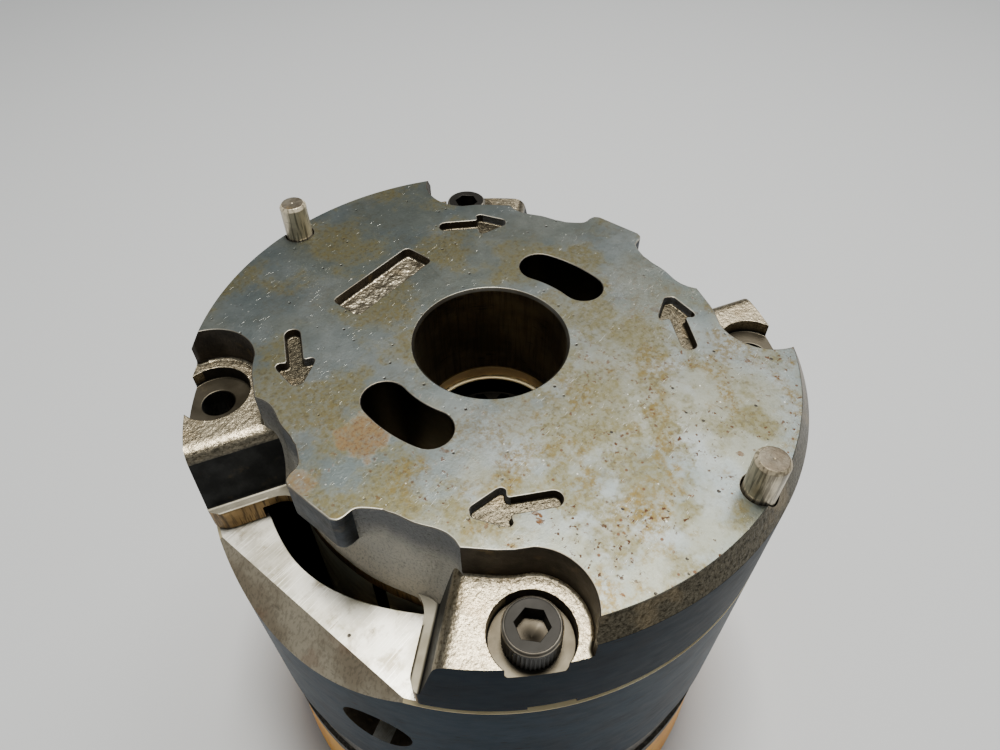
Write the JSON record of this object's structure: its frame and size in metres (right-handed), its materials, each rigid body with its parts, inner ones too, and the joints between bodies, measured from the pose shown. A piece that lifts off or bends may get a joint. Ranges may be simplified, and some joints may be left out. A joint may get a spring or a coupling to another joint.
{
  "type": "vane pump cartridge",
  "caption": "Round intra-vane pump cartridge: slotted inlet plate with arrows, side windows, cam ring, outlet plate with hub, splined rotor with sliding vanes, dowel pins.",
  "frame": {"origin": "centre of the base, under the shaft axis", "axes": "+Z along the shaft axis out of the inlet face; the inlet windows on +X and -X; the dowel pins on +Y and -Y"},
  "size_m": [0.1264, 0.1264, 0.1377],
  "materials": {
    "cast_plate": "ground faces over rough cast walls, lightly stained",
    "ring_steel": "fine ground",
    "rotor_steel": "ground",
    "vane_steel": "fine ground",
    "bronze": "machined bronze",
    "black_steel": "black oxide",
    "pin_steel": "ground, tarnished",
    "seal_rubber": "matte",
    "backup_plastic": "satin",
    "stand_plastic": "satin moulded"
  },
  "bodies": {
    "cartridge": {"inlet_support_plate": "cast_plate", "cam_ring": "ring_steel", "outlet_support_plate": "cast_plate", "inlet_side_plate": "bronze", "outlet_side_plate": "bronze", "inlet_face_seal": "seal_rubber", "outlet_face_seal": "seal_rubber", "outlet_bushing": "bronze", "hub_seal_ring": "seal_rubber", "hub_backup_ring": "backup_plastic", "stand_ring": "stand_plastic", "dowel_pin_a": "pin_steel", "dowel_pin_b": "pin_steel", "cap_screw_a": "black_steel", "cap_screw_b": "black_steel"},
    "rotor": {"rotor": "rotor_steel", "vane_insert_01": "vane_steel", "vane_insert_02": "vane_steel", "vane_insert_03": "vane_steel", "vane_insert_04": "vane_steel", "vane_insert_05": "vane_steel", "vane_insert_06": "vane_steel", "vane_insert_07": "vane_steel", "vane_insert_08": "vane_steel", "vane_insert_09": "vane_steel", "vane_insert_10": "vane_steel"},
    "vane_01": {"vane_01": "vane_steel"},
    "vane_02": {"vane_02": "vane_steel"},
    "vane_03": {"vane_03": "vane_steel"},
    "vane_04": {"vane_04": "vane_steel"},
    "vane_05": {"vane_05": "vane_steel"},
    "vane_06": {"vane_06": "vane_steel"},
    "vane_07": {"vane_07": "vane_steel"},
    "vane_08": {"vane_08": "vane_steel"},
    "vane_09": {"vane_09": "vane_steel"},
    "vane_10": {"vane_10": "vane_steel"}
  },
  "joints": [
    {"name": "rotor_spin", "type": "hinge", "parent": "cartridge", "child": "rotor", "pos_m": [0, 0, 0.07635], "axis": [0, 0, 1], "continuous": true},
    {"name": "vane_01_slide", "type": "slide", "parent": "rotor", "child": "vane_01", "axis": [0.9863, 0.165, 0], "range_m": [0, 0.0032]},
    {"name": "vane_02_slide", "type": "slide", "parent": "rotor", "child": "vane_02", "axis": [0.7009, 0.7133, 0], "range_m": [0, 0.0007]},
    {"name": "vane_03_slide", "type": "slide", "parent": "rotor", "child": "vane_03", "axis": [0.1478, 0.989, 0], "range_m": [0, 0.0034]},
    {"name": "vane_04_slide", "type": "slide", "parent": "rotor", "child": "vane_04", "axis": [-0.4617, 0.887, 0], "range_m": [0, 0.0065]},
    {"name": "vane_05_slide", "type": "slide", "parent": "rotor", "child": "vane_05", "axis": [-0.8949, 0.4462, 0], "range_m": [0, 0.0065]},
    {"name": "vane_06_slide", "type": "slide", "parent": "rotor", "child": "vane_06", "axis": [-0.9863, -0.165, 0], "range_m": [0, 0.0032]},
    {"name": "vane_07_slide", "type": "slide", "parent": "rotor", "child": "vane_07", "axis": [-0.7009, -0.7133, 0], "range_m": [0, 0.0007]},
    {"name": "vane_08_slide", "type": "slide", "parent": "rotor", "child": "vane_08", "axis": [-0.1478, -0.989, 0], "range_m": [0, 0.0034]},
    {"name": "vane_09_slide", "type": "slide", "parent": "rotor", "child": "vane_09", "axis": [0.4617, -0.887, 0], "range_m": [0, 0.0065]},
    {"name": "vane_10_slide", "type": "slide", "parent": "rotor", "child": "vane_10", "axis": [0.8949, -0.4462, 0], "range_m": [0, 0.0065]}
  ]
}
